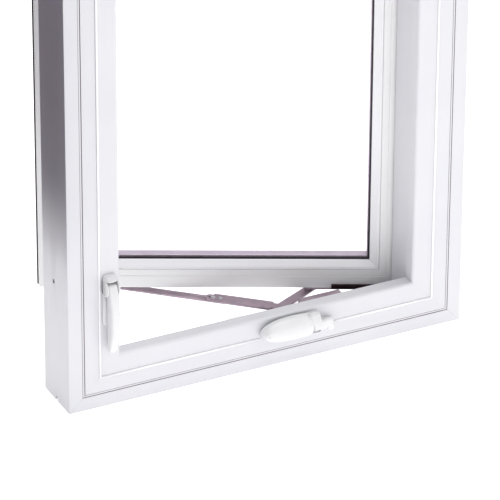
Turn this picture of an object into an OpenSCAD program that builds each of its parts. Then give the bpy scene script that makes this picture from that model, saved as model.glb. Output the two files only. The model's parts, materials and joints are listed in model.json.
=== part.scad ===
// Casement window: a hinged sash in a frame, moved by a folding crank.
// Origin: middle of the sill's underside. +X to the hinge side, +Y outdoors, +Z up.
// Shapes are drawn from the frame's lower left indoor corner and moved by from_corner().

/* [Frame] */
// Outer width of the frame
width = 610; // [560:10:800]
// Outer height of the frame
height = 914; // [700:10:1400]
// Depth of the main frame box
frame_depth = 82; // [80:1:84]
// Width of the outer flange seen from indoors
flange = 20.4; // [18:0.2:20.4]
// Width of the whole indoor face, flange and cover together
face_w = 78; // [76:1:80]

/* [Sash] */
// Angle at which the sash stands open
open_angle = 26; // [10:1:30]
// Thickness of the sash
sash_d = 36; // [34:1:36]
// Width of the sash rails and stiles
rail_w = 44; // [43:0.1:50]

/* [Operator] */
// Distance along the sash from its pivot to the operator arm's roller
roller_dist = 393.6; // [360:1:400]
// Distance from the sash pivot to the stay arm's stud, and the stay arm's length
stay_len = 115; // [100:1:115]
// Height of the crank spindle above the underside of the sill
spindle_z = 46; // [45:0.5:47]
// Teeth that the worm wheel would have as a full wheel
gear_teeth = 36; // [30:1:40]

/* [Handles] */
// Length of the crank handle from its fold pin to the knob
handle_len = 73; // [68:1:85]
// Length of the lock lever below its pin
lever_len = 101; // [90:1:110]

/* [Hidden] */

$fn = 48;
eps = 0.01;

vinyl = [0.93, 0.93, 0.95];
vinyl_shade = [0.86, 0.86, 0.88];
steel = [0.60, 0.53, 0.59];
dark_steel = [0.25, 0.17, 0.20];
zinc = [0.72, 0.72, 0.74];
rubber = [0.09, 0.05, 0.09];
glass_tint = [0.85, 0.92, 0.90, 0.35];
spacer_grey = [0.80, 0.80, 0.84];
nylon = [0.88, 0.88, 0.86];

// Frame sections
gap = 0.5;
wall = 3;
cover_in = flange + gap;
cover_back = 67.7;
lip_depth = 20;
cover_face = face_w - 3;
pocket = 39;
nose_in = 18;
nose_depth = 108;
nose_len = nose_depth - frame_depth;
sill_floor = 14;
fin_low = 31;
fin_high = 48;
bead_at = 47;

// Sash box when closed
sash_left = 41.8;
sash_right = width - 51.7;
sash_front = 71.5;
sash_bottom = 30;
sash_top = height - 50;
sash_w = sash_right - sash_left;
sash_h = sash_top - sash_bottom;
glass_front = 8;
pane = 3;
unit_d = 20;
glass_edge = 34;
track_low = 2.6;

// Sash pivot, operator arm and stay, in plan
pivot = [width - 61.7, 89.5];
arm_pivot = pivot + [-122.7, -32.1];
roller_at = pivot + roller_dist * [-cos(open_angle), sin(open_angle)];
arm_angle = atan2(roller_at[1] - arm_pivot[1], arm_pivot[0] - roller_at[0]);
stud_at = pivot + stay_len * [-cos(open_angle), sin(open_angle)];
shoe_at = [pivot[0] - 2 * stay_len * cos(open_angle), pivot[1]];
arm_w = 14;
web_w = 21;
web_from = 80;
arm_t = 2.6;
arm_z = 23.8;
ext_z = arm_z - arm_t;
overlap_r = 172;
stay_z = 20.8;
stay_t = 2.4;
stay_w = 15;

// Worm, sector, housing and crank
housing_y = 27;
housing_d = cover_back - housing_y - 0.3;
housing_top = 54;
gear_r = 21;
worm_r = 5.7;
worm_gap = 0.25;
centre_dist = gear_r + worm_r + worm_gap;
spindle_x = arm_pivot[0] - centre_dist;
spindle_r = 5;
run_fit = 0.05;
shaft_r = 6;
gear_t = 5;
housing_screws = [spindle_x - 8, arm_pivot[0] + 19];
base_t = 4;
base_r = 9.5;
fold_x = spindle_x - 27.5;
fold_y = -15;
fold_r = 2.5;
handle_low = 43;
handle_top = 75.6;
handle_front = -24;
slot_low = 48;
slot_top = 61;
slot_in = 5.5;
handle_back = -5.2;
knob_x = fold_x - handle_len;
knob_z = 59;
tip_r = 8.5;
belly_x = fold_x - 33;
belly_z = 58.7;
belly_r = 18.7;
boss_r = 6;
root_r = 9.5;
knob_r = 5.6;

// Lock
lever_x = 61;
lever_w = 14;
lock_z = 190;
lock_y = -11;
lock_pin_r = 3;
lock_screw_z = [lock_z - 54, lock_z - 44];
tie_x = 35.2;
tie_y = 92;
tie_w = 10;
keeper_z = [240, 640];

// Installation screw holes in the jambs
install_z = 187;
install_y = 47;
install_r = 3.5;

module from_corner() {
    translate([-width / 2, -frame_depth / 2, 0]) children();
}

// The sash and all on it, swung open about its pivot
module swung() {
    from_corner()
        translate([pivot[0], pivot[1], 0]) rotate([0, 0, -open_angle])
            translate([-pivot[0], -pivot[1], 0]) children();
}

// Maps a left-hand member (x in from the edge, z along it) to one of four sides
module on_side(side, w, h) {
    if (side == "left") children();
    if (side == "right") translate([w, 0, 0]) mirror([1, 0, 0]) children();
    if (side == "bottom") mirror([0, 0, 1]) rotate([0, 90, 0]) children();
    if (side == "top") translate([0, 0, h]) rotate([0, 90, 0]) children();
}

// Bar of a section (in from the edge, depth), mitred at both ends
module mitred(length, reach, d0, d1) {
    intersection() {
        linear_extrude(length) children();
        translate([0, d1, 0]) rotate([90, 0, 0]) linear_extrude(d1 - d0)
            polygon([[0, 0], [reach, reach], [reach, length - reach], [0, length]]);
    }
}

// Flat bar between two plan points, with round ends and holes; hole_from may be 0 for none
module link_bar(from, to, w, z, t, hole_from, hole_to) {
    span = to - from;
    difference() {
        translate([from[0], from[1], z]) rotate([0, 0, atan2(span[1], span[0])]) {
            translate([0, -w / 2, 0]) cube([norm(span), w, t]);
            cylinder(d = w, h = t);
            translate([norm(span), 0, 0]) cylinder(d = w, h = t);
        }
        if (hole_from > 0)
            translate([from[0], from[1], z - 1]) cylinder(r = hole_from, h = t + 2);
        translate([to[0], to[1], z - 1]) cylinder(r = hole_to, h = t + 2);
    }
}

// Pan-headed screw along +Z, its head at z = 0 upwards
module pan_screw(r, length) {
    cylinder(r = 2 * r, h = 1.2 * r);
    translate([0, 0, -length]) cylinder(r = r, h = length);
}

// ---------- Frame ----------

module jamb_section() {
    difference() {
        union() {
            square([flange, frame_depth]);
            translate([0, cover_back + gap]) square([pocket, frame_depth - cover_back - gap]);
            translate([nose_in, frame_depth - eps]) square([pocket - nose_in, nose_len + eps]);
        }
        translate([wall, wall]) square([flange - 2 * wall, frame_depth - 2 * wall]);
        translate([nose_in + wall, frame_depth + wall]) square([9, nose_len - 2 * wall]);
    }
}

module sill_section() {
    difference() {
        union() {
            square([sill_floor, frame_depth]);
            square([flange, 10]);
        }
        translate([wall, wall]) square([sill_floor - 2 * wall, frame_depth - 2 * wall]);
    }
}

// Drain notch under the outer lower corner
module corner_notch() {
    translate([-1, 38, -1]) cube([8, 9, 7]);
}

module sill_envelope() {
    on_side("bottom", width, height) mitred(width, 60, 0, frame_depth) union() {
        square([sill_floor, frame_depth]);
        square([flange, 10]);
    }
    translate([nose_in, frame_depth - eps, 0]) cube([width - 2 * nose_in, nose_len + eps, sill_floor]);
}

module frame_sill() {
    color(vinyl) from_corner() {
        difference() {
            on_side("bottom", width, height) mitred(width, 60, 0, frame_depth) sill_section();
            corner_notch();
        }
        difference() {
            translate([nose_in, frame_depth - eps, 0])
                cube([width - 2 * nose_in, nose_len + eps, sill_floor]);
            translate([nose_in + wall, frame_depth + wall, wall])
                cube([width - 2 * nose_in - 2 * wall, nose_len - 2 * wall, sill_floor - 2 * wall]);
        }
        translate([pocket + gap, nose_depth - 4, sill_floor - eps])
            cube([width - 2 * pocket - 2 * gap, 4, 5]);
    }
}

module frame_head() {
    color(vinyl) from_corner()
        on_side("top", width, height) mitred(width, 60, 0, nose_depth) jamb_section();
}

// Full-height jamb: mitred to the head, cut round the sill, drilled for its screws
module jamb() {
    difference() {
        intersection() {
            linear_extrude(height) jamb_section();
            translate([0, nose_depth, 0]) rotate([90, 0, 0]) linear_extrude(nose_depth)
                polygon([[0, 0], [60, 0], [60, height - 60], [0, height]]);
        }
        sill_envelope();
        corner_notch();
        for (z = [install_z, height - install_z])
            translate([-1, install_y, z]) rotate([0, 90, 0]) cylinder(r = install_r, h = flange + 2);
    }
}

module frame_jamb_lock() {
    color(vinyl) from_corner() difference() {
        jamb();
        translate([pocket - 6, tie_y - 6, 120]) cube([7, 12, height - 230]);
    }
}

module frame_jamb_hinge() {
    color(vinyl) from_corner() on_side("right", width, height) jamb();
}

// Indoor face of the covers: the step by the flange, the raised bead and the round lip
function cover_front() = [
    [cover_in, 0.7], [cover_in + 2.6, 0.7], [cover_in + 2.6, 2], [cover_in + 3.4, 2],
    [cover_in + 3.4, 0], [bead_at - 1.8, 0], [bead_at - 1.1, -1.2], [bead_at + 1.1, -1.2],
    [bead_at + 1.8, 0], [face_w - 4, 0],
    for (a = [15:15:90]) [face_w - 4 + 4 * sin(a), 4 - 4 * cos(a)],
    [face_w, lip_depth]
];

module cover_section() {
    difference() {
        polygon(concat(cover_front(),
            [[cover_face, lip_depth], [cover_face, cover_back], [cover_in, cover_back]]));
        translate([cover_in + wall, wall])
            square([cover_face - cover_in - 2 * wall, cover_back - 2 * wall]);
    }
}

function sill_cover_rear() = [[cover_face - 1, lip_depth], [fin_high, 62], [fin_high - 4, cover_back]];

module sill_cover_envelope() {
    on_side("bottom", width, height) mitred(width, 90, -3, cover_back)
        polygon(concat([[0, -3], [face_w, -3], [face_w, lip_depth]], sill_cover_rear(), [[0, cover_back]]));
}

module sill_cover() {
    inner = [[fin_low, cover_back], [fin_low, cover_back - wall], [fin_high - 6, cover_back - wall],
        [fin_high - 4, 60], [cover_face - 5, lip_depth], [cover_face - 5, wall], [cover_in, wall]];
    color(vinyl) from_corner() difference() {
        on_side("bottom", width, height) mitred(width, 90, -2, cover_back)
            polygon(concat(cover_front(), sill_cover_rear(), inner));
        translate([spindle_x - 13.4, 43, sill_floor]) cube([centre_dist + 37.8, 33, 60]);
        translate([spindle_x, 10, spindle_z]) rotate([90, 0, 0]) cylinder(r = 8, h = 20);
        translate([knob_x - 6, -3, bead_at - 5]) cube([spindle_x - knob_x + 18, 3, 10]);
    }
}

module head_cover() {
    color(vinyl) from_corner()
        on_side("top", width, height) mitred(width, 90, -2, cover_back) cover_section();
}

module jamb_cover() {
    difference() {
        intersection() {
            linear_extrude(height) cover_section();
            translate([0, cover_back, 0]) rotate([90, 0, 0]) linear_extrude(cover_back + 2)
                polygon([[0, cover_in], [90, cover_in], [90, height - 90], [0, height]]);
        }
        sill_cover_envelope();
    }
}

module jamb_cover_lock() {
    color(vinyl) from_corner() difference() {
        jamb_cover();
        translate([lever_x - 5, -2, lock_z - 8]) cube([10, 6, 16]);
    }
}

module jamb_cover_hinge() {
    color(vinyl) from_corner() on_side("right", width, height) jamb_cover();
}

module frame_seal() {
    color(rubber) from_corner() {
        translate([70, cover_back, 60]) cube([4, 2.6, height - 140]);
        translate([width - 74, cover_back, 60]) cube([4, 1.2, height - 140]);
        translate([78, cover_back, height - 75]) cube([width - 156, 2.6, 4]);
        translate([78, cover_back, 38.5]) cube([spindle_x - 96, 2.6, 4]);
    }
}

// ---------- Operator ----------

module operator_housing() {
    x0 = spindle_x - 13;
    box_w = centre_dist + 37;
    color(vinyl_shade) from_corner() difference() {
        union() {
            translate([x0, housing_y, sill_floor]) cube([box_w, housing_d, wall]);
            translate([x0, housing_y, sill_floor]) cube([box_w, 8, housing_top - sill_floor]);
            translate([x0, housing_y, 33]) cube([box_w, housing_d, housing_top - 33]);
        }
        translate([x0 + wall, housing_y + 8, 36]) cube([box_w - 2 * wall, 40, housing_top - 38]);
        translate([spindle_x, housing_y + 9, spindle_z]) rotate([90, 0, 0])
            cylinder(r = spindle_r + run_fit, h = 12);
        translate([arm_pivot[0], arm_pivot[1], 32]) cylinder(r = shaft_r + run_fit, h = 6);
        translate([arm_pivot[0], arm_pivot[1], sill_floor - 1]) cylinder(r = shaft_r + run_fit, h = 5);
        for (x = housing_screws)
            translate([x, housing_y + 4, 40]) cylinder(r = 2, h = 20);
    }
}

module operator_screws() {
    color(zinc) from_corner()
        for (x = housing_screws)
            translate([x, housing_y + 4, housing_top]) pan_screw(2, 12);
}

// Oval plate on the sill cover round the spindle
module crank_base() {
    color(vinyl) from_corner() translate([0, 0, spindle_z + 2]) difference() {
        rotate([90, 0, 0]) linear_extrude(base_t) {
            translate([spindle_x - 1, 0]) circle(r = base_r);
            translate([spindle_x - 26, 0]) circle(r = base_r);
            translate([spindle_x - 26, -base_r]) square([25, 2 * base_r]);
        }
        translate([spindle_x, 1, -2]) rotate([90, 0, 0]) cylinder(r = spindle_r + 0.6, h = base_t + 2);
    }
}

// Spindle with the worm at its outdoor end
module spindle_worm() {
    thread_pitch = 2 * PI * gear_r / gear_teeth;
    color(zinc) from_corner() translate([spindle_x, 0, spindle_z]) rotate([90, 0, 0]) {
        translate([0, 0, -66.5]) cylinder(r = worm_r - 1, h = 22);
        translate([0, 0, -45]) cylinder(r = spindle_r, h = 45 + base_t + 1.2);
        for (k = [0:5])
            translate([0, 0, -64 + k * thread_pitch]) cylinder(r = worm_r, h = thread_pitch / 2);
    }
}

module gear_sector() {
    tooth = 180 / gear_teeth;
    first = 180 - 44;
    last = 180 + 64;
    color(zinc) from_corner() translate([arm_pivot[0], arm_pivot[1], spindle_z - gear_t / 2]) difference() {
        linear_extrude(gear_t) {
            circle(r = shaft_r + 3);
            polygon(concat([[0, 0]], [for (a = [first:tooth:last])
                (gear_r + (round((a - first) / tooth) % 2 == 0 ? 0 : -1.2)) * [cos(a), sin(a)]]));
        }
        translate([0, 0, -1]) cylinder(r = shaft_r, h = gear_t + 2);
    }
}

// Arm from the operator's shaft; the shaft is part of it
module long_arm() {
    far = arm_pivot + overlap_r * [-cos(arm_angle), sin(arm_angle)];
    color(steel) from_corner() {
        link_bar(arm_pivot, far, arm_w, arm_z, arm_t, 0, 2);
        translate([arm_pivot[0], arm_pivot[1], arm_z]) rotate([0, 0, 180 - arm_angle])
            translate([web_from, -web_w / 2, 0]) cube([overlap_r - web_from - 4, web_w, arm_t]);
        translate([arm_pivot[0], arm_pivot[1], sill_floor + 0.3]) cylinder(r = shaft_r, h = 35.4);
        translate([arm_pivot[0], arm_pivot[1], arm_z - 3]) cylinder(r = arm_w / 2 + 2, h = 3 + arm_t);
    }
}

module arm_extension() {
    near = arm_pivot + (overlap_r - 22) * [-cos(arm_angle), sin(arm_angle)];
    color(steel) from_corner() link_bar(near, roller_at, arm_w, ext_z, arm_t - 0.02, 1, 2.5);
}

module arm_rivets() {
    color(zinc) from_corner()
        for (r = [overlap_r - 16, overlap_r - 5])
            translate([arm_pivot[0] - r * cos(arm_angle), arm_pivot[1] + r * sin(arm_angle), 0]) {
                translate([0, 0, arm_z + arm_t]) cylinder(r1 = 3.6, r2 = 2.2, h = 1.4, $fn = 32);
                translate([0, 0, ext_z - 0.9]) cylinder(r = 3, h = 0.9);
            }
}

module arm_roller() {
    color(nylon) from_corner() translate([roller_at[0], roller_at[1], 0]) {
        translate([0, 0, ext_z - 1]) cylinder(r = 2.5 - run_fit, h = 8);
        translate([0, 0, arm_z + 0.3]) difference() {
            cylinder(r = 6, h = 5);
            translate([0, 0, -1]) cylinder(r = 2.5 - run_fit, h = 4);
        }
    }
}

// ---------- Stay ----------

module stay_track() {
    low = pivot[0] - 2 * stay_len - 14;
    len = 2 * stay_len * (1 - cos(70)) + 34;
    color(zinc) from_corner() translate([low, pivot[1] - 8, sill_floor]) difference() {
        cube([len, 16, 5]);
        translate([-1, 1.8, 1.5]) cube([len + 2, 12.4, 6]);
    }
}

module stay_arm() {
    color(steel) from_corner() {
        link_bar(stud_at, shoe_at, stay_w, stay_z, stay_t, 3.05, 2);
        translate([shoe_at[0], shoe_at[1], 17]) cylinder(r = 3, h = stay_z - 17 + stay_t + 0.5);
    }
}

module stay_shoe() {
    color(nylon) from_corner() translate([shoe_at[0] - 14, shoe_at[1] - 5.5, 15.8]) difference() {
        cube([28, 11, 4.6]);
        translate([14, 5.5, -1]) cylinder(r = 3.05, h = 8);
    }
}

module stay_stud() {
    color(zinc) from_corner() translate([stud_at[0], stud_at[1], 0]) {
        translate([0, 0, stay_z - 0.65]) cylinder(r = 5, h = 0.5);
        translate([0, 0, stay_z - 0.65]) cylinder(r = 3, h = 7.15);
    }
}

// Plate under the sash rail that holds the stay's stud
module stay_bracket() {
    color(steel) swung() difference() {
        translate([pivot[0] - stay_len - 12, pivot[1] - 16, 27]) cube([86, 22, 3]);
        translate([pivot[0] - stay_len, pivot[1], 26]) cylinder(r = 3, h = 2);
        for (x = [18, 58])
            translate([pivot[0] - stay_len + x, pivot[1] - 8, 26]) cylinder(r = 2, h = 5);
    }
}

module sash_track() {
    color(dark_steel) swung() difference() {
        translate([pivot[0] - 88, sash_front - 3.3, sash_bottom]) cube([64, 3.3, 7]);
        translate([pivot[0] - 89, sash_front - 4, sash_bottom + 2]) cube([66, 2.4, 3]);
    }
}

// ---------- Hinges ----------

module hinge_base_bottom() {
    color(zinc) from_corner() difference() {
        translate([pivot[0] - 26, pivot[1] - 17, sill_floor]) cube([46, 30, 3]);
        translate([pivot[0], pivot[1], sill_floor - 1]) cylinder(r = 4, h = 5);
        for (x = [-19, 13])
            translate([pivot[0] + x, pivot[1] - 8, sill_floor - 1]) cylinder(r = 2, h = 5);
    }
}

module hinge_base_top() {
    color(zinc) from_corner() difference() {
        translate([pivot[0] - 26, pivot[1] - 17, height - pocket - 3]) cube([46, 30, 3]);
        translate([pivot[0], pivot[1], height - pocket - 4]) cylinder(r = 4, h = 5);
    }
}

module hinge_pins() {
    color(zinc) from_corner() translate([pivot[0], pivot[1], 0]) {
        translate([0, 0, sill_floor + 0.2]) cylinder(r = 4, h = sash_bottom - sill_floor - 0.6);
        translate([0, 0, sash_top + 0.4]) cylinder(r = 4, h = height - pocket - sash_top - 0.6);
    }
}

module pivot_plate(z) {
    difference() {
        translate([pivot[0] - 22, pivot[1] - 14, z]) cube([30, 26, 4]);
        translate([pivot[0], pivot[1], z - 1]) cylinder(r = 4 + run_fit, h = 6);
    }
}

module sash_pivot_bottom() {
    color(steel) swung() pivot_plate(sash_bottom - 4);
}

module sash_pivot_top() {
    color(steel) swung() pivot_plate(sash_top);
}

module hinge_screws() {
    color(zinc) from_corner()
        for (x = [-19, 13])
            translate([pivot[0] + x, pivot[1] - 8, sill_floor + wall]) pan_screw(1.9, wall - 0.1);
}

// ---------- Sash ----------

// Section of a rail: body, glazing rebate and outdoor leg
module rail_section() {
    difference() {
        polygon([[0, 1.5], [1.5, 0], [19, 0], [19.8, 1], [20.6, 0], [30, 0], [30, glass_front + unit_d],
            [rail_w - 3, glass_front + unit_d], [rail_w - 5, sash_d], [1.5, sash_d], [0, sash_d - 1.5]]);
        translate([4, 4]) square([22, sash_d - 8]);
    }
}

module sash_member(side) {
    translate([sash_left, sash_front, sash_bottom])
        on_side(side, sash_w, sash_h)
            mitred(side == "left" || side == "right" ? sash_h : sash_w, 60, 0, sash_d) rail_section();
}

// Bottom rail with the roller's shallow track along its underside
module sash_rail_bottom() {
    color(vinyl) swung() difference() {
        sash_member("bottom");
        translate([sash_left + 40, pivot[1] - 8, sash_bottom - 1]) cube([300, 16, track_low + 1]);
    }
}

module sash_rail_top() {
    color(vinyl) swung() sash_member("top");
}

module sash_stile_lock() {
    color(vinyl) swung() difference() {
        sash_member("left");
        for (z = keeper_z)
            translate([sash_left - 1, tie_y - 7, z - 1]) cube([3, 14, 62]);
    }
}

module sash_stile_hinge() {
    color(vinyl) swung() sash_member("right");
}

// Snap-in glazing bead with a sloped face
module bead_member(side) {
    translate([sash_left, sash_front, sash_bottom])
        on_side(side, sash_w, sash_h)
            mitred(side == "left" || side == "right" ? sash_h : sash_w, 60, 0, glass_front)
                polygon([[30.3, 0.8], [31.5, 0], [33, 0], [33.6, 0.8], [34.2, 0.2],
                    [rail_w, glass_front - 3.5], [rail_w, glass_front - 0.8], [34, glass_front - 0.8],
                    [30.3, glass_front - 3]]);
}

module bead_bottom() {
    color(vinyl) swung() bead_member("bottom");
}

module bead_top() {
    color(vinyl) swung() bead_member("top");
}

module bead_lock() {
    color(vinyl) swung() bead_member("left");
}

module bead_hinge() {
    color(vinyl) swung() bead_member("right");
}

module pane_at(depth, t) {
    translate([sash_left + glass_edge, sash_front + depth, sash_bottom + glass_edge])
        cube([sash_w - 2 * glass_edge, t, sash_h - 2 * glass_edge]);
}

module glass_inner() {
    color(glass_tint) swung() pane_at(glass_front, pane);
}

module glass_outer() {
    color(glass_tint) swung() pane_at(glass_front + unit_d - pane - 0.5, pane);
}

// Rectangular ring lying flat against the glass
module flat_ring(inset, bar, depth, t) {
    translate([sash_left + inset, sash_front + depth, sash_bottom + inset]) difference() {
        cube([sash_w - 2 * inset, t, sash_h - 2 * inset]);
        translate([bar, -1, bar]) cube([sash_w - 2 * inset - 2 * bar, t + 2, sash_h - 2 * inset - 2 * bar]);
    }
}

module glass_spacer() {
    color(spacer_grey) swung() flat_ring(glass_edge + 7, 7, glass_front + pane, unit_d - 2 * pane - 0.5);
}

module glazing_gasket() {
    color(rubber) swung() flat_ring(rail_w - 3, 5.8, glass_front - 0.8, 0.8);
}

module setting_blocks() {
    color(rubber) swung()
        for (x = [sash_left + 110, sash_right - 150])
            translate([x, sash_front + glass_front, sash_bottom + 30])
                cube([40, unit_d - 1, glass_edge - 30]);
}

// Black weather seal on the lock edge of the sash
module sash_seal() {
    color(rubber) swung()
        translate([sash_left - 2.4, sash_front + 3, sash_bottom + 4]) cube([2.4, 4.5, sash_h - 8]);
}

// ---------- Crank ----------

module crank_hub() {
    low = slot_low + 0.3;
    color(vinyl) from_corner() difference() {
        union() {
            translate([spindle_x, -base_t - 1.2, spindle_z]) rotate([90, 0, 0]) cylinder(r = boss_r, h = 7);
            translate([0, 0, low]) linear_extrude(slot_top - 0.3 - low) {
                translate([fold_x, fold_y]) circle(r = 4.2);
                translate([spindle_x, -9]) circle(r = 3.8);
                polygon([[fold_x, fold_y - 4.2], [fold_x, fold_y + 4.2],
                    [spindle_x, -5.2], [spindle_x, -12.8]]);
            }
        }
        translate([fold_x, fold_y, low - 1]) cylinder(r = fold_r, h = 40);
    }
}

// Straight-sided link between two circles, the first to the right of the second
module taper(at, r_at, to, r_to) {
    lean = (r_at - r_to) / (at[0] - to[0]);
    rise = sqrt(1 - lean * lean);
    polygon([at + r_at * [-lean, rise], to + r_to * [-lean, rise],
        to + r_to * [-lean, -rise], at + r_at * [-lean, -rise]]);
}

// Boat-shaped outline of the folding handle, seen from indoors
module handle_outline(inset) {
    root_z = (handle_low + handle_top) / 2;
    big = (handle_top - handle_low) / 2 - inset;
    translate([fold_x, root_z]) circle(r = big);
    translate([belly_x, belly_z]) circle(r = belly_r - inset, $fn = 72);
    translate([knob_x, knob_z]) circle(r = tip_r - inset);
    taper([fold_x, root_z], big, [belly_x, belly_z], belly_r - inset);
    taper([belly_x, belly_z], belly_r - inset, [knob_x, knob_z], tip_r - inset);
}

module crank_handle() {
    color(vinyl) from_corner() difference() {
        intersection() {
            translate([0, handle_back, 0]) rotate([90, 0, 0])
                linear_extrude(handle_back - handle_front) handle_outline(0);
            union() {
                translate([0, handle_front - 1, 0]) cube([fold_x, 40, 120]);
                translate([fold_x, fold_y, 0]) cylinder(r = root_r, h = 120);
            }
        }
        intersection() {
            translate([0, 1, 0]) rotate([90, 0, 0]) linear_extrude(-handle_front - 1.5) handle_outline(2);
            translate([0, -40, 0]) cube([fold_x - 16, 60, 120]);
        }
        translate([fold_x - slot_in, handle_front - 1, slot_low]) cube([30, 30, slot_top - slot_low]);
        translate([fold_x, fold_y, 30]) cylinder(r = fold_r + run_fit, h = 60);
        translate([knob_x, 1, knob_z]) rotate([90, 0, 0]) cylinder(r = 1.8, h = 40);
    }
}

module fold_pin() {
    color(zinc) from_corner() translate([fold_x, fold_y, handle_low + 1.5])
        cylinder(r = fold_r, h = handle_top - handle_low - 3);
}

module knob_pin() {
    color(zinc) from_corner() translate([knob_x, handle_back - 1.5, knob_z]) rotate([90, 0, 0])
        cylinder(r = 1.8, h = handle_back - handle_front - 2.5);
}

module crank_knob() {
    color(vinyl_shade) from_corner() translate([knob_x, -5.6, knob_z]) rotate([90, 0, 0]) difference() {
        union() {
            cylinder(r = knob_r, h = 8);
            translate([0, 0, 8]) cylinder(r = knob_r - 1.6, h = 4);
        }
        translate([0, 0, -1]) cylinder(r = 1.8 + run_fit, h = 20);
    }
}

// ---------- Lock ----------

module lock_escutcheon() {
    half = lever_w / 2 + 0.5;
    color(vinyl) from_corner() {
        difference() {
            translate([lever_x - 10, -3.6, lock_z - 62]) cube([20, 3.6, 80]);
            translate([lever_x - 5, -5, lock_z - 8]) cube([10, 6, 16]);
            for (z = lock_screw_z)
                translate([lever_x, 1, z]) rotate([90, 0, 0]) cylinder(r = 1.9, h = 6);
        }
        for (s = [-1, 1])
            translate([lever_x + s * (half + 1.3) - 1.3, 0, 0]) difference() {
                union() {
                    translate([0, lock_y, lock_z]) rotate([0, 90, 0]) cylinder(r = 11, h = 2.6);
                    translate([0, lock_y, lock_z - 11]) cube([2.6, -lock_y, 22]);
                }
                translate([-1, lock_y, lock_z]) rotate([0, 90, 0]) cylinder(r = lock_pin_r, h = 5);
            }
        translate([lever_x - half - 2.6, -8, lock_z + 11.5]) cube([2 * half + 5.2, 8, 6.5]);
    }
}

module lock_pin() {
    color(zinc) from_corner() translate([lever_x - 9.3, lock_y, lock_z]) rotate([0, 90, 0])
        cylinder(r = lock_pin_r, h = 18.6);
}

// Lever that hangs from its pin and bows towards the room
module lock_lever() {
    tip = lock_z - lever_len;
    color(vinyl) from_corner() difference() {
        translate([lever_x - lever_w / 2, 0, 0]) {
            translate([0, lock_y, lock_z]) rotate([0, 90, 0]) cylinder(r = 6.8, h = lever_w);
            rotate([90, 0, 90]) linear_extrude(lever_w)
                polygon([[lock_y + 4, lock_z - 5], [-6.4, lock_z - 9], [-6.4, tip + 5], [-8, tip], [-14, tip + 1], [-22, tip + 16], [-26, tip + 40],
                    [-26.5, lock_z - 30], [-24, lock_z - 14], [lock_y - 6, lock_z + 2]]);
        }
        translate([lever_x - 20, lock_y, lock_z]) rotate([0, 90, 0])
            cylinder(r = lock_pin_r + run_fit, h = 40);
    }
}

module lock_case() {
    color(zinc) from_corner() translate([lever_x - 9, wall + 1, lock_z - 40]) difference() {
        cube([18, 26, 80]);
        translate([2, 2, 2]) cube([14, 22, 76]);
    }
}

module lock_screws() {
    color(zinc) from_corner()
        for (z = lock_screw_z)
            translate([lever_x, -3.6, z]) rotate([90, 0, 0]) pan_screw(1.9, 3.5);
}

module tie_bar() {
    color(zinc) from_corner()
        translate([tie_x - 1, tie_y - tie_w / 2, 150]) cube([2, tie_w, height - 300]);
}

module lock_rollers() {
    color(nylon) from_corner()
        for (z = keeper_z)
            translate([tie_x + 1, tie_y, z + 8]) rotate([0, 90, 0]) {
                cylinder(r = 2, h = 1);
                translate([0, 0, 0.7]) cylinder(r = 4.5, h = 2);
            }
}

module tie_bar_guides() {
    color(nylon) from_corner()
        for (z = [180, 420, height - 200])
            translate([pocket - 2.4, tie_y - 6, z]) difference() {
                cube([2.4, 12, 16]);
                translate([-1, 2.5, -1]) cube([6, 7, 18]);
            }
}

module lock_keepers() {
    color(zinc) swung()
        for (z = keeper_z)
            translate([sash_left, tie_y - 7, z - 1]) difference() {
                cube([2, 14, 62]);
                translate([-1, 2.5, 3]) cube([4, 9, 56]);
            }
}

frame_sill();
frame_head();
frame_jamb_lock();
frame_jamb_hinge();
sill_cover();
head_cover();
jamb_cover_lock();
jamb_cover_hinge();
frame_seal();
operator_housing();
operator_screws();
crank_base();
spindle_worm();
crank_hub();
crank_handle();
fold_pin();
crank_knob();
knob_pin();
lock_escutcheon();
lock_case();
lock_lever();
lock_pin();
lock_screws();
tie_bar();
tie_bar_guides();
lock_rollers();
lock_keepers();
long_arm();
arm_extension();
arm_rivets();
gear_sector();
arm_roller();
stay_track();
stay_arm();
stay_stud();
stay_shoe();
stay_bracket();
hinge_base_bottom();
hinge_base_top();
hinge_pins();
sash_pivot_bottom();
sash_pivot_top();
hinge_screws();
sash_rail_bottom();
sash_rail_top();
sash_stile_lock();
sash_stile_hinge();
bead_bottom();
bead_top();
bead_lock();
bead_hinge();
glass_inner();
glass_outer();
glass_spacer();
glazing_gasket();
setting_blocks();
sash_seal();
sash_track();
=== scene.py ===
"""Looks of a white vinyl casement window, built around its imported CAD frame. Lengths are in metres."""

import json
import math

import bmesh
import bpy
from mathutils import Matrix, Vector


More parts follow.
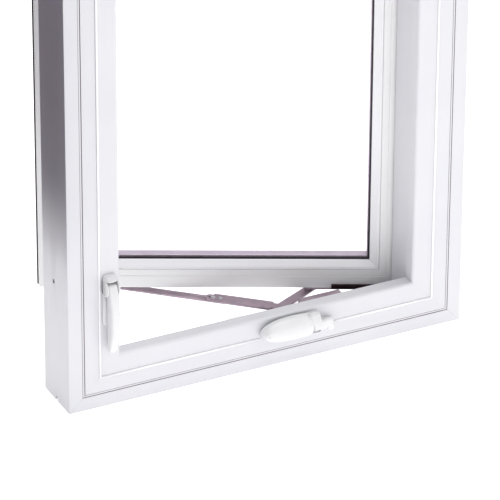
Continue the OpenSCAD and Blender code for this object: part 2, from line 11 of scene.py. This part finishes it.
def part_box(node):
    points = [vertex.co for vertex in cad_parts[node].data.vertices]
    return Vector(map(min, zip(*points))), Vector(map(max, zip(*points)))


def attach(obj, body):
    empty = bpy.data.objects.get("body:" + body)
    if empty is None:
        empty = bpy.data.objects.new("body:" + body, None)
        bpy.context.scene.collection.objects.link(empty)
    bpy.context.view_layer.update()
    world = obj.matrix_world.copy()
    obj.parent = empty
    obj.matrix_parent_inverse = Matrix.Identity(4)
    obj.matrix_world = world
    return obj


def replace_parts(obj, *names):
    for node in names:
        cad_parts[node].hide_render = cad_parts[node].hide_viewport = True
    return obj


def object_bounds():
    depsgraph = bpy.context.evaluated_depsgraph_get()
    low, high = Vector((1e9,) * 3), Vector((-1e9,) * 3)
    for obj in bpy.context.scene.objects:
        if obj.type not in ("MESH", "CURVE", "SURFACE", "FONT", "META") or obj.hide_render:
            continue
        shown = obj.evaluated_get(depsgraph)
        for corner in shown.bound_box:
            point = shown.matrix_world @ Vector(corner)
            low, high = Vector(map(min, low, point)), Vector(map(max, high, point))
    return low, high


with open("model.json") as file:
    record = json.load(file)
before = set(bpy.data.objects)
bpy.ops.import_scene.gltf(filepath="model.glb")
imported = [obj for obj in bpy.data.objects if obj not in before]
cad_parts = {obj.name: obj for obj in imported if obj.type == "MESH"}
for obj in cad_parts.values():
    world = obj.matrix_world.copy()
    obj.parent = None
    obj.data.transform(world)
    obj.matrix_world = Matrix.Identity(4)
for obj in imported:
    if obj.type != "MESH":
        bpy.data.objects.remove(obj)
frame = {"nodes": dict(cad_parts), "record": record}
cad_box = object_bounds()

MM = 0.001
NODES = frame["nodes"]
SLOT_OF = {part["node"]: part["material_slot"] for part in frame["record"]["subparts"]}
CENTRE = {name: (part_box(name)[0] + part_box(name)[1]) / 2 for name in NODES}
INDOOR_FACE_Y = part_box("lock_escutcheon")[1].y
SASH_TURN = -math.radians(26)


# ---------- Camera, light and stage ----------

CAMERA_AT = Vector((-2.5212, -5.0766, 3.3034))
CAMERA_YAW = math.radians(26.33)
CAMERA_PITCH = math.radians(28.97)
CAMERA_ROLL = math.radians(0.31)
CAMERA_LENS = 335.1


def add_camera():
    camera = bpy.data.objects.new("camera", bpy.data.cameras.new("camera"))
    bpy.context.scene.collection.objects.link(camera)
    camera.data.lens = CAMERA_LENS
    camera.data.sensor_width = 36
    camera.data.clip_end = 100
    camera.location = CAMERA_AT
    look = Vector((
        math.sin(CAMERA_YAW) * math.cos(CAMERA_PITCH),
        math.cos(CAMERA_YAW) * math.cos(CAMERA_PITCH),
        -math.sin(CAMERA_PITCH),
    ))
    turn = look.to_track_quat("-Z", "Y").to_euler().to_matrix()
    roll_axis = Vector((0, 0, 1))
    camera.rotation_euler = (turn @ Matrix.Rotation(CAMERA_ROLL, 3, roll_axis)).to_euler()
    bpy.context.scene.camera = camera


def add_area(name, place, target, size, power):
    light = bpy.data.lights.new(name, "AREA")
    light.size = size
    light.energy = power
    lamp = bpy.data.objects.new(name, light)
    bpy.context.scene.collection.objects.link(lamp)
    lamp.location = place
    lamp.rotation_euler = (Vector(target) - Vector(place)).to_track_quat("-Z", "Y").to_euler()


def add_world(strength):
    world = bpy.data.worlds.new("studio")
    bpy.context.scene.world = world
    world.use_nodes = True
    back = world.node_tree.nodes["Background"]
    back.inputs["Color"].default_value = (1.0, 1.0, 1.0, 1)
    back.inputs["Strength"].default_value = strength


def add_plane(name, corners, material):
    mesh = bpy.data.meshes.new(name)
    mesh.from_pydata(corners, [], [(0, 1, 2, 3)])
    mesh.materials.append(material)
    plane = bpy.data.objects.new(name, mesh)
    bpy.context.scene.collection.objects.link(plane)
    return plane


def make_floor():
    """Pale floor that gives off some light of its own, because the photo's background is white."""
    material = new_material(
        "floor", (0.93, 0.93, 0.94), 0.8, Emission_Color=(1, 1, 1, 1), Emission_Strength=0.55)
    vary_colour(material, noise(material, 2, 2), (0.925, 0.925, 0.935), (0.94, 0.94, 0.95))
    reach = 30
    corners = [(-reach, -reach, 0), (reach, -reach, 0), (reach, reach, 0), (-reach, reach, 0)]
    add_plane("floor", corners, material)


def make_side_card():
    """Dark card beside the lock jamb, which the camera doesn't see and which darkens that jamb."""
    material = new_material("card", (0.045, 0.012, 0.055), 0.9)
    vary_colour(material, noise(material, 3, 2), (0.04, 0.01, 0.05), (0.05, 0.015, 0.06))
    x = -0.375
    front, back = -0.12, 0.24
    bottom, top = 0.22, 1.4
    corners = [(x, front, bottom), (x, back, bottom), (x, back, top), (x, front, top)]
    add_plane("side_card", corners, material).visible_camera = False


# ---------- Materials ----------

def new_material(name, colour, roughness, metallic=0.0, **more):
    """Principled material with constant values set on its own sockets."""
    material = bpy.data.materials.new(name)
    material.use_nodes = True
    shader = material.node_tree.nodes["Principled BSDF"]
    shader.inputs["Base Color"].default_value = (*colour, 1)
    shader.inputs["Roughness"].default_value = roughness
    shader.inputs["Metallic"].default_value = metallic
    for socket, value in more.items():
        shader.inputs[socket.replace("_", " ")].default_value = value
    return material


def noise(material, scale, detail, stretch=(1, 1, 1)):
    """Noise over the object's own coordinates, in metres."""
    nodes, links = material.node_tree.nodes, material.node_tree.links
    place = nodes.new("ShaderNodeTexCoord")
    mapping = nodes.new("ShaderNodeMapping")
    mapping.inputs["Scale"].default_value = stretch
    texture = nodes.new("ShaderNodeTexNoise")
    texture.inputs["Scale"].default_value = scale
    texture.inputs["Detail"].default_value = detail
    links.new(place.outputs["Object"], mapping.inputs["Vector"])
    links.new(mapping.outputs["Vector"], texture.inputs["Vector"])
    return texture


def vary_colour(material, texture, dark, light):
    """Base colour between two colours, following a noise."""
    nodes, links = material.node_tree.nodes, material.node_tree.links
    ramp = nodes.new("ShaderNodeValToRGB")
    ramp.color_ramp.elements[0].position = 0.3
    ramp.color_ramp.elements[1].position = 0.7
    ramp.color_ramp.elements[0].color = (*dark, 1)
    ramp.color_ramp.elements[1].color = (*light, 1)
    links.new(texture.outputs["Fac"], ramp.inputs["Fac"])
    links.new(ramp.outputs["Color"], nodes["Principled BSDF"].inputs["Base Color"])


def vary_roughness(material, texture, low, high):
    nodes, links = material.node_tree.nodes, material.node_tree.links
    spread = nodes.new("ShaderNodeMapRange")
    spread.inputs["To Min"].default_value = low
    spread.inputs["To Max"].default_value = high
    links.new(texture.outputs["Fac"], spread.inputs["Value"])
    links.new(spread.outputs["Result"], nodes["Principled BSDF"].inputs["Roughness"])


def add_bump(material, texture, depth, strength):
    """Fine relief of the given depth in metres."""
    nodes, links = material.node_tree.nodes, material.node_tree.links
    bump = nodes.new("ShaderNodeBump")
    bump.inputs["Strength"].default_value = strength
    bump.inputs["Distance"].default_value = depth
    links.new(texture.outputs["Fac"], bump.inputs["Height"])
    links.new(bump.outputs["Normal"], nodes["Principled BSDF"].inputs["Normal"])


def vinyl_material(name, dark, light):
    """Satin extruded vinyl: faint cloudiness and a very fine pebble."""
    material = new_material(name, light, 0.32, Specular_IOR_Level=0.45)
    vary_colour(material, noise(material, 9, 3), dark, light)
    vary_roughness(material, noise(material, 60, 2), 0.26, 0.4)
    add_bump(material, noise(material, 1400, 2), 0.00003, 0.5)
    return material


def metal_material(name, dark, light, low, high, stretch):
    """Bare metal with drawn or brushed streaks."""
    material = new_material(name, light, low, metallic=0.75)
    streaks = noise(material, 260, 4, stretch)
    vary_colour(material, noise(material, 45, 3), dark, light)
    vary_roughness(material, streaks, low, high)
    add_bump(material, streaks, 0.00006, 0.5)
    return material


def plastic_material(name, dark, light, low, high, grain, depth):
    material = new_material(name, light, low)
    vary_colour(material, noise(material, 30, 3), dark, light)
    vary_roughness(material, noise(material, 120, 2), low, high)
    add_bump(material, noise(material, grain, 2), depth, 0.6)
    return material


def glass_material():
    material = new_material(
        "glass", (0.97, 0.98, 0.98), 0.03, Alpha=0.05, Specular_IOR_Level=0.5, IOR=1.5)
    vary_roughness(material, noise(material, 14, 2), 0.02, 0.05)
    return material


def make_materials():
    """One look per material slot, and two that only some pieces wear: a lighter vinyl that paints the
    highlight on the beads, and a dark plastic that paints the shadow in the covers' grooves.
    """
    return {
        "vinyl_frame": vinyl_material("vinyl_frame", (0.680, 0.680, 0.712), (0.708, 0.706, 0.736)),
        # Painted highlight: the frame's white vinyl made lighter, for the light the beads catch from
        # above.
        "vinyl_bead": vinyl_material("vinyl_bead", (0.90, 0.90, 0.92), (0.93, 0.93, 0.95)),
        # Same white vinyl as the frame, painted lighter to make up for the shade the open sash stands
        # in.
        "vinyl_sash": vinyl_material("vinyl_sash", (0.860, 0.857, 0.865), (0.890, 0.885, 0.893)),
        "painted_hardware": plastic_material(
            "painted_hardware", (0.73, 0.73, 0.745), (0.77, 0.77, 0.785), 0.2, 0.3, 700, 0.00002),
        "arm_steel": metal_material(
            "arm_steel", (0.34, 0.265, 0.32), (0.45, 0.365, 0.42), 0.36, 0.52, (1, 1, 14)),
        # Near black: painted shade on steel that lies in the sash's shadow.
        "dark_steel": metal_material(
            "dark_steel", (0.03, 0.012, 0.018), (0.06, 0.03, 0.035), 0.3, 0.5, (1, 1, 10)),
        "zinc": metal_material(
            "zinc", (0.50, 0.49, 0.52), (0.62, 0.61, 0.64), 0.28, 0.45, (1, 1, 12)),
        # Dark plastic that paints the shadow inside the covers' grooves.
        "joint": plastic_material(
            "joint", (0.10, 0.062, 0.072), (0.14, 0.09, 0.1), 0.5, 0.7, 900, 0.00004),
        "rubber": plastic_material(
            "rubber", (0.012, 0.006, 0.013), (0.026, 0.015, 0.027), 0.5, 0.7, 900, 0.00006),
        "glass": glass_material(),
        "spacer": metal_material(
            "spacer", (0.64, 0.54, 0.66), (0.72, 0.63, 0.75), 0.35, 0.5, (1, 1, 1)),
        "nylon": plastic_material(
            "nylon", (0.74, 0.73, 0.71), (0.80, 0.79, 0.77), 0.4, 0.55, 600, 0.00004),
    }


# ---------- Mesh building ----------

def arc(start, sweep, steps):
    """Evenly spaced angles from start to start + sweep, both ends included."""
    return [start + sweep * k / steps for k in range(steps + 1)]


def full_turn(count):
    """Angles of the corners of a closed ring."""
    return [math.tau * k / count for k in range(count)]


def signed_power(value, power):
    """Power that keeps the sign, for outlines between a round and a box."""
    return math.copysign(abs(value) ** power, value)


def bridge(shape, low, high):
    """Band of quads between two loops of equal length."""
    count = len(low)
    for k in range(count):
        after = (k + 1) % count
        shape.faces.new((low[k], low[after], high[after], high[k]))


def mesh_from(name, shape):
    """Mesh of a finished bmesh, with its normals outwards."""
    bmesh.ops.recalc_face_normals(shape, faces=shape.faces)
    mesh = bpy.data.meshes.new(name)
    shape.to_mesh(mesh)
    shape.free()
    return mesh


def finish_piece(piece, material_slot, body, smooth=True, look=None):
    """Adds a piece to the scene. A look stands in for the slot's own material."""
    piece.data.materials.append(MATERIALS[look or material_slot])
    for face in piece.data.polygons:
        face.use_smooth = smooth
    bpy.context.scene.collection.objects.link(piece)
    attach(piece, body)
    return piece


def loft(name, rings, material_slot, body, levels=0, look=None):
    """Closed skin through rings of equal length, capped at both ends."""
    shape = bmesh.new()
    loops = [[shape.verts.new(point) for point in ring] for ring in rings]
    for low, high in zip(loops, loops[1:]):
        bridge(shape, low, high)
    shape.faces.new(list(reversed(loops[0])))
    shape.faces.new(loops[-1])
    piece = bpy.data.objects.new(name, mesh_from(name, shape))
    finish_piece(piece, material_slot, body, look=look)
    if levels:
        smoother = piece.modifiers.new("smooth", "SUBSURF")
        smoother.levels = smoother.render_levels = levels
    return piece


def turned(name, centre, axis, profile, material_slot, body):
    """Solid of revolution: profile is a list of (distance along the axis, radius)."""
    axis = Vector(axis).normalized()
    across = axis.orthogonal().normalized()
    other = axis.cross(across)
    rings = []
    for along, radius in profile:
        rings.append([
            Vector(centre) + axis * along + radius * (across * math.cos(a) + other * math.sin(a))
            for a in full_turn(40)
        ])
    return loft(name, rings, material_slot, body)


def dress_cad_nodes():
    """Gives every CAD node its material and softly broken edges, whose widths are in mm."""
    edge_width = {"vinyl_frame": 0.5, "vinyl_sash": 0.5, "painted_hardware": 0.9, "glass": 0.3}
    for name, node in NODES.items():
        # CAD beads wear the lighter vinyl, a painted highlight, instead of their slot's own look.
        look = "vinyl_bead" if name.startswith("bead_") else SLOT_OF[name]
        node.data.materials.clear()
        node.data.materials.append(MATERIALS[look])
        weld = node.modifiers.new("weld", "WELD")
        weld.merge_threshold = 0.00002
        bevel = node.modifiers.new("edges", "BEVEL")
        bevel.width = edge_width.get(SLOT_OF[name], 0.25) * MM
        bevel.segments = 2
        bevel.limit_method = "ANGLE"
        bevel.angle_limit = math.radians(35)
        bevel.use_clamp_overlap = True


# ---------- Crank ----------

def handle_ring(x, centre_z, half_z, back_y, depth, hollow):
    """One section of the handle: a crowned front, and a back that is flat or hollowed."""
    ring = []
    for a in arc(0, math.pi, 18):
        bulge = math.sin(a) ** 0.62
        ring.append(Vector((x, back_y - depth * bulge, centre_z - half_z * math.cos(a))))
    rim = min(1.8 * MM, half_z * 0.35)
    inner = half_z - rim
    for a in arc(0, math.pi, 8):
        ring.append(Vector((x, back_y - hollow * math.sin(a) ** 0.4, centre_z + inner * math.cos(a))))
    return ring


def make_crank_shell():
    """Tapered, crowned shell of the folding handle, hollowed at the back."""
    low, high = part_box("crank_handle")
    tip_z = CENTRE["crank_knob"].z
    root_z = CENTRE["crank_handle"].z
    pin_x = CENTRE["fold_pin"].x
    right = pin_x - 5.6 * MM
    belly_x = pin_x - 33 * MM
    belly_half, root_half, tip_half = 18.2 * MM, 16.5 * MM, 1.2 * MM
    wall = 2.2 * MM
    length = right - low.x
    full_depth = high.y - low.y
    round_from = 0.965
    rings = []
    for t in (0, 0.008, 0.03, 0.065, 0.11, 0.17, 0.25, 0.34, 0.44,
            0.54, 0.64, 0.74, 0.84, 0.92, 0.97, 0.99, 1):
        x = low.x + length * t
        if x < belly_x:
            share = (x - low.x) / (belly_x - low.x)
            half_z = belly_half * (1 - (1 - share) ** 2.2) ** 0.45
        else:
            share = (x - belly_x) / (right - belly_x)
            half_z = belly_half - (belly_half - root_half) * share ** 1.6
        rounding = max(0, (t - round_from) / (1 - round_from)) ** 2
        half_z = max(half_z, tip_half) * (1 - 0.09 * rounding)
        depth = (0.42 + 0.56 * min(1, t / 0.09) ** 0.55) * full_depth
        depth = min(depth, full_depth - 0.3 * MM) * (1 - 0.05 * rounding)
        hollow = min(15 * MM if 0.05 < t < 0.8 else 0.2 * MM, depth - wall)
        centre_z = tip_z + (root_z - tip_z) * t
        rings.append(handle_ring(x, centre_z, half_z, high.y, depth, hollow))
    shell = loft("crank_handle_shell", rings, "painted_hardware", "crank_handle", levels=1)
    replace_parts(shell, "crank_handle")


def make_crank_ears():
    """The handle's two ears, under and over the hub's tongue and rounded about the fold pin."""
    low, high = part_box("crank_handle")
    pin_x = CENTRE["fold_pin"].x
    root_z = CENTRE["crank_handle"].z
    left = pin_x - 12 * MM
    half_z, reach = 16.5 * MM, 9.2 * MM
    full_depth = high.y - low.y - 0.4 * MM
    # below the crown, the high ear stays deep enough to cover the end of the fold pin
    crown_z, pin_depth = 75 * MM, 13 * MM
    ears = {
        "low": (43.3, 43.9, 45, 46.4, 47.7, 47.95),
        "high": (61.05, 61.3, 64, 67, 70, 72.4, 74, 74.9, 75.3),
    }
    for name, levels in ears.items():
        rings = []
        for level in levels:
            z = level * MM
            share = min(0.995, abs(z - root_z) / half_z)
            deep = full_depth * (1 - share * share) ** 0.31
            if name == "high" and z < crown_z:
                deep = max(deep, pin_depth)
            middle_y = high.y - deep / 2
            out = reach * (1 - 0.25 * share ** 6)
            ring = [Vector((left, high.y, z)), Vector((left, high.y - deep, z))]
            for a in arc(-math.pi / 2, math.pi, 16):
                ring.append(Vector((
                    pin_x + out * max(0, math.cos(a)) ** 0.8, middle_y + deep / 2 * math.sin(a), z)))
            rings.append(ring)
        ear = loft("crank_handle_ear_" + name, rings, "painted_hardware", "crank_handle")
        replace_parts(ear, "crank_handle")


def make_crank_knob():
    low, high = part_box("crank_knob")
    centre = CENTRE["crank_knob"]
    radius = (high.x - low.x) / 2
    length = high.y - low.y
    profile = [
        (0, radius * 0.6), (0.3 * MM, radius * 0.84), (1.2 * MM, radius * 0.97), (2.6 * MM, radius),
        (length * 0.45, radius * 0.93), (length * 0.62, radius * 0.8), (length * 0.68, radius * 0.7),
        (length - 0.4 * MM, radius * 0.68), (length, radius * 0.6),
    ]
    knob = turned("crank_knob_body", (centre.x, high.y, centre.z), (0, -1, 0), profile,
        "painted_hardware", "crank_knob")
    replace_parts(knob, "crank_knob")


def stadium_ring(left, right, centre_z, radius, y):
    """Oval ring in the XZ plane."""
    ring = []
    for centre_x, start in ((right, -math.pi / 2), (left, math.pi / 2)):
        for a in arc(start, math.pi, 20):
            ring.append(Vector((centre_x + radius * math.cos(a), y, centre_z + radius * math.sin(a))))
    return ring


def make_crank_base():
    """Low domed oval plate behind the crank."""
    low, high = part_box("crank_base")
    radius = (high.z - low.z) / 2
    centre_z = CENTRE["crank_base"].z
    left, right = low.x + radius, high.x - radius
    thick = high.y - low.y
    rings = []
    # inset in mm, share of the thickness
    for inset, rise in ((0, 0), (0, 0.35), (0.25, 0.62), (0.9, 0.84), (2.2, 0.96), (4.2, 1.0), (9, 1.0)):
        rings.append(stadium_ring(left, right, centre_z, radius - inset * MM, high.y - thick * rise))
    base = loft("crank_base_plate", rings, "painted_hardware", "frame")
    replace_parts(base, "crank_base")


def make_crank_hub():
    """Knuckle of the folding crank: a round boss that flows into the tongue on the fold pin."""
    back_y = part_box("crank_hub")[1].y
    spin = CENTRE["spindle_worm"]
    pin = CENTRE["fold_pin"]
    # distance from the back and radius, in mm
    profile = [(0, 4.9), (0.4, 5.5), (1.2, 5.9), (4.6, 5.9), (5.8, 5.5), (6.6, 4.6), (6.9, 3.2)]
    boss = turned("crank_hub_boss", (spin.x, back_y, spin.z), (0, -1, 0),
        [(along * MM, radius * MM) for along, radius in profile], "painted_hardware", "crank")
    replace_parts(boss, "crank_hub")
    bottom, top = 48.3 * MM, 60.7 * MM
    end = Vector((spin.x, back_y - 3.8 * MM, 0))
    heading = math.atan2(end.y - pin.y, end.x - pin.x)
    pin_radius, end_radius = 4.1, 3.7
    rings = []
    # inset in mm, share of the height
    for inset, rise in ((1.5, 0), (0.5, 0.04), (0, 0.13), (0, 0.8), (0.6, 0.93), (1.6, 1)):
        z = bottom + (top - bottom) * rise
        ring = []
        for centre, radius, first in ((pin, pin_radius, math.pi / 2), (end, end_radius, -math.pi / 2)):
            reach = (radius - inset) * MM
            for a in arc(heading + first, math.pi, 16):
                ring.append(Vector((centre.x + reach * math.cos(a), centre.y + reach * math.sin(a), z)))
        rings.append(ring)
    tongue = loft("crank_hub_tongue", rings, "painted_hardware", "crank")
    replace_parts(tongue, "crank_hub")


# ---------- Lock ----------

def make_lock_lever():
    """Lever that hangs from its pin and bows towards the room."""
    low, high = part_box("lock_lever")
    middle_x = CENTRE["lock_lever"].x
    half_x = (high.x - low.x) / 2
    pin_z = CENTRE["lock_pin"].z
    # in mm: distance below the pin, then back and front as depth before the face; share of full width
    stations = ((-6.6, 9.5, 12.5, 0.8), (-5.4, 6.6, 15.8, 0.95), (-2, 5.2, 17.6, 1), (4, 5.4, 19.6, 1),
        (10, 6.4, 21.8, 1), (24, 6.5, 24.8, 1), (38, 6.5, 26.3, 1), (56, 6.5, 26.2, 0.98),
        (72, 6.5, 24.6, 0.95), (84, 6.6, 21.6, 0.91), (93, 6.7, 17.8, 0.85), (98.6, 6.9, 14.4, 0.76),
        (100.7, 7.6, 12, 0.6))
    rings = []
    for drop, back, front, share in stations:
        half_y = (front - back) / 2 * MM
        centre_y = INDOOR_FACE_Y - (front + back) / 2 * MM
        rings.append([
            Vector((
                middle_x + half_x * share * signed_power(math.cos(a), 0.42),
                centre_y + half_y * signed_power(math.sin(a), 0.62),
                pin_z - drop * MM,
            ))
            for a in full_turn(32)
        ])
    lever = loft("lock_lever_body", rings, "painted_hardware", "lock_lever", levels=1)
    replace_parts(lever, "lock_lever")


def make_lock_dome():
    """Dome of the escutcheon, over the lever's pin."""
    middle_x = CENTRE["lock_escutcheon"].x
    pin_z = CENTRE["lock_pin"].z
    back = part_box("lock_escutcheon")[1].y
    # in mm: height above the pin, half width, depth
    sections = ((10.2, 8.8, 13.4), (10.5, 9.7, 14.2), (11.4, 10, 14), (13, 10, 12.8),
        (14.8, 9.7, 10.6), (16.3, 9, 7.6), (17.4, 7.9, 4.6), (17.9, 6.6, 1.6))
    rings = []
    for rise, half, depth in sections:
        rings.append([
            Vector((
                middle_x + half * MM * signed_power(math.cos(a), 0.7),
                back - depth * MM * math.sin(a) ** 0.62,
                pin_z + rise * MM,
            ))
            for a in arc(0, math.pi, 24)
        ])
    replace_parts(loft("lock_dome", rings, "painted_hardware", "frame", levels=1), "lock_escutcheon")


def make_lock_cheeks():
    """Cheek of the escutcheon on each side of the lever's pin."""
    middle_x = CENTRE["lock_escutcheon"].x
    pin = CENTRE["lock_pin"]
    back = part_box("lock_escutcheon")[1].y
    radius, flatness = 10.9, 0.72
    for name, side in (("left", -1), ("right", 1)):
        rings = []
        # in mm: distance from the middle, inset from the radius
        for out, inset in ((7.6, 0.7), (8.1, 0), (9.2, 0), (9.7, 0.5), (10, 1.6)):
            x = middle_x + side * out * MM
            reach = (radius - inset) * MM
            ring = [
                Vector((x, pin.y + reach * flatness * math.cos(a), pin.z + reach * math.sin(a)))
                for a in arc(math.pi / 2, math.pi, 24)
            ]
            ring.append(Vector((x, back, pin.z - reach)))
            ring.append(Vector((x, back, pin.z + reach)))
            rings.append(ring)
        cheek = loft("lock_cheek_" + name, rings, "painted_hardware", "frame")
        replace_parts(cheek, "lock_escutcheon")


def make_lock_plate():
    """Long plate of the escutcheon, rounded at its foot."""
    low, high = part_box("lock_escutcheon")
    middle_x = CENTRE["lock_escutcheon"].x
    top = CENTRE["lock_pin"].z + 10 * MM
    half_width, foot, thick = 10 * MM, 8 * MM, 3.6 * MM
    rings = []
    # inset in mm, share of the thickness
    for inset, rise in ((0, 0), (0, 0.55), (0.35, 0.82), (1.1, 1)):
        y = high.y - thick * rise
        half = half_width - inset * MM
        foot_z = low.z + inset * MM + foot
        ring = [
            Vector((middle_x + half * signed_power(math.cos(a), 0.6), y, foot_z + foot * math.sin(a)))
            for a in arc(math.pi, math.pi, 12)
        ]
        ring.append(Vector((middle_x + half, y, top)))
        ring.append(Vector((middle_x - half, y, top)))
        rings.append(ring)
    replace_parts(loft("lock_plate", rings, "painted_hardware", "frame"), "lock_escutcheon")


# ---------- Painted groove shadows, bead highlights and small fittings ---

def make_painted_groove_shadow(name, inset, width, depth, thick):
    """Thin dark strip that runs round the frame's indoor face, inset from its edge: painted shadow in a
    groove of the covers. Sizes in mm.
    """
    (left, _, bottom), (right, _, top) = cad_box
    front = INDOOR_FACE_Y + depth * MM
    back = front + thick * MM
    near, far = inset * MM, (inset + width) * MM
    section = ((near, front), (far, front), (far, back), (near, back))
    corners = ((left, bottom, 1, 1), (right, bottom, -1, 1), (right, top, -1, -1), (left, top, 1, -1))
    shape = bmesh.new()
    loops = []
    for x, z, inward_x, inward_z in corners:
        loops.append([
            shape.verts.new((x + inward_x * reach, y, z + inward_z * reach)) for reach, y in section])
    for low, high in zip(loops, loops[1:] + loops[:1]):
        bridge(shape, low, high)
    strip = bpy.data.objects.new(name, mesh_from(name, shape))
    finish_piece(strip, "rubber", "frame", smooth=False, look="joint")


def make_bead_highlight_caps():
    """Crowned crest along the raised bead of the indoor covers, in a lighter vinyl that paints the
    highlight the bead catches from above; it stops short of the crank.
    """
    inset = 47 * MM
    (left, _, bottom), (right, _, top) = cad_box
    left, right = left + inset, right - inset
    bottom, top = bottom + inset, top - inset
    crank_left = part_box("crank_handle")[0].x - 1 * MM
    crank_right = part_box("crank_base")[1].x + 1.5 * MM
    runs = (
        ("left", (left, bottom), (left, top)),
        ("right", (right, bottom), (right, top)),
        ("head", (left, top), (right, top)),
        ("sill_left", (left, bottom), (crank_left, bottom)),
        ("sill_right", (crank_right, bottom), (right, bottom)),
    )
    # in mm: place across the bead, height above the face
    profile = ((-1.6, 1.02), (-1.2, 1.34), (0, 1.44), (1.2, 1.34), (1.6, 1.02))
    for name, start, end in runs:
        across = (0, 1) if start[1] == end[1] else (1, 0)
        rings = [
            [
                Vector((x + across[0] * u * MM, INDOOR_FACE_Y - rise * MM, z + across[1] * u * MM))
                for u, rise in profile
            ]
            for x, z in (start, end)
        ]
        loft("bead_highlight_cap_" + name, rings, "vinyl_frame", "frame", look="vinyl_bead")


def make_sash_seal():
    """Bulb seal on the lock edge of the sash, which stands open."""
    low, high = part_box("sash_seal")
    node = NODES["sash_seal"]
    corners = [node.matrix_world @ vertex.co for vertex in node.data.vertices]
    foot = sorted({(round(c.x, 5), round(c.y, 5)) for c in corners if abs(c.z - low.z) < 0.5 * MM})
    middle = Vector((sum(x for x, _ in foot), sum(y for _, y in foot), 0)) / len(foot)
    along = Vector((math.cos(SASH_TURN), math.sin(SASH_TURN), 0)) * 1.2 * MM
    across = Vector((-math.sin(SASH_TURN), math.cos(SASH_TURN), 0)) * 2.25 * MM
    rings = []
    for z in (low.z, high.z):
        level = middle + Vector((0, 0, z))
        rings.append([level + along * math.cos(a) + across * math.sin(a) for a in full_turn(20)])
    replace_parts(loft("sash_seal_bulb", rings, "rubber", "sash"), "sash_seal")


def loose_parts(mesh):
    """Vertex positions of each separate island of a mesh."""
    parent = list(range(len(mesh.vertices)))

    def root(k):
        while parent[k] != k:
            parent[k] = parent[parent[k]]
            k = parent[k]
        return k

    seats = {}
    for vertex in mesh.vertices:
        key = tuple(round(c, 6) for c in vertex.co)
        parent[vertex.index] = seats.setdefault(key, vertex.index)
    for edge in mesh.edges:
        parent[root(edge.vertices[0])] = root(edge.vertices[1])
    groups = {}
    for vertex in mesh.vertices:
        groups.setdefault(root(vertex.index), []).append(vertex.co)
    return list(groups.values())


def cross_ring(centre, facing, reach):
    """Outline of a four-pointed cross that faces along a direction."""
    across = Vector((1, 0, 0))
    other = facing.cross(across)
    ring = []
    for k in range(12):
        a = math.tau * (k + 0.5) / 12
        r = reach * 0.3 if k % 3 == 1 else reach
        ring.append(centre + r * (across * math.cos(a) + other * math.sin(a)))
    return ring


def make_screw_recess_shades():
    """Dark cross on each screw head: painted shade in place of its cross recess."""
    facings = {"lock_screws": (0, -1, 0), "operator_screws": (0, 0, 1), "hinge_screws": (0, 0, 1)}
    for node, facing in facings.items():
        faces_room = node == "lock_screws"
        facing = Vector(facing)
        for index, points in enumerate(loose_parts(NODES[node].data)):
            low = Vector(map(min, zip(*points)))
            high = Vector(map(max, zip(*points)))
            size = high - low
            head = (low + high) / 2
            if faces_room:
                head.y = low.y
                reach = min(size.x, size.z) * 0.3
            else:
                head.z = high.z
                reach = min(size.x, size.y) * 0.3
            rings = [cross_ring(head + facing * lift * MM, facing, reach) for lift in (-0.3, 0.06)]
            loft("%s_recess_%d" % (node, index), rings, "rubber", "frame")


# ---------- Build ----------

MATERIALS = make_materials()

add_camera()
add_world(0.53)
make_floor()
make_side_card()
add_area("key", (1.3, -2.6, 2.6), (0, 0, 0.3), 1.4, 10.5)
add_area("top", (0.6, 0.4, 3.6), (0, 0.1, 0.3), 2.0, 88)
add_area("fill", (-0.5, -2.2, 0.5), (0.1, 0.1, 0.2), 1.4, 11)

dress_cad_nodes()
make_crank_shell()
make_crank_ears()
make_crank_knob()
make_crank_base()
make_crank_hub()
make_lock_lever()
make_lock_dome()
make_lock_cheeks()
make_lock_plate()
make_bead_highlight_caps()
make_sash_seal()
make_screw_recess_shades()
# Painted shadow in the gap between flange and cover, and in the groove beside it.
make_painted_groove_shadow("cover_gap_painted_shadow", 20.4, 0.5, 0.3, 1.2)
make_painted_groove_shadow("cover_groove_painted_shadow", 23.55, 0.7, 0.4, 0.8)

bpy.context.scene.view_settings.view_transform = "Standard"
